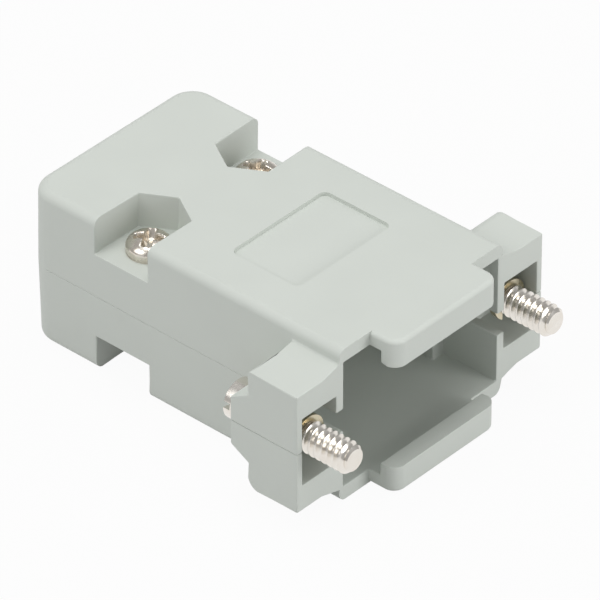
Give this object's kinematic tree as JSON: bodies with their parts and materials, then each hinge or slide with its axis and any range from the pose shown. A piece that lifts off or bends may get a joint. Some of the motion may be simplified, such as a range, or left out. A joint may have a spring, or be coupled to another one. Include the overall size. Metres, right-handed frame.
{
  "type": "d-sub connector hood",
  "caption": "Light grey plastic hood for a small D-sub cable connector, with captive jackscrews in its ears, case screws in open notches and a round cable outlet.",
  "frame": {"origin": "centre of the flange seat, midway between the two jackscrew axes on the parting plane", "axes": "-Y towards the mating connector, +Y towards the cable, +Z out of the upper half's broad face, +X to the right as seen from the connector's side"},
  "size_m": [0.0304, 0.0388, 0.0154],
  "materials": {
    "shell_plastic": "light grey moulded plastic, fine matte texture",
    "plated_screw": "nickel-plated steel, bright",
    "nickel_jackscrew": "nickel-plated steel, bright",
    "spring_ring": "spring steel, lightly passivated",
    "clamp_steel": "stamped and plated sheet steel"
  },
  "bodies": {
    "hood": {"upper_shell": "shell_plastic", "lower_shell": "shell_plastic", "case_screw_left": "plated_screw", "case_screw_right": "plated_screw", "cable_clamp_upper": "clamp_steel", "cable_clamp_lower": "clamp_steel", "clamp_screw_left": "plated_screw", "clamp_screw_right": "plated_screw", "clamp_nut_left": "plated_screw", "clamp_nut_right": "plated_screw"},
    "left_float": {"retaining_ring_left": "spring_ring"},
    "left_screw": {"jackscrew_left": "nickel_jackscrew"},
    "right_float": {"retaining_ring_right": "spring_ring"},
    "right_screw": {"jackscrew_right": "nickel_jackscrew"}
  },
  "joints": [
    {"name": "left_jackscrew_float", "type": "slide", "parent": "hood", "child": "left_float", "axis": [0, 1, 0], "range_m": [0, 0.0023]},
    {"name": "left_jackscrew_turn", "type": "hinge", "parent": "left_float", "child": "left_screw", "pos_m": [-0.01249, 0, 0], "axis": [0, 1, 0], "continuous": true},
    {"name": "right_jackscrew_float", "type": "slide", "parent": "hood", "child": "right_float", "axis": [0, 1, 0], "range_m": [0, 0.0023]},
    {"name": "right_jackscrew_turn", "type": "hinge", "parent": "right_float", "child": "right_screw", "pos_m": [0.01249, 0, 0], "axis": [0, 1, 0], "continuous": true}
  ]
}
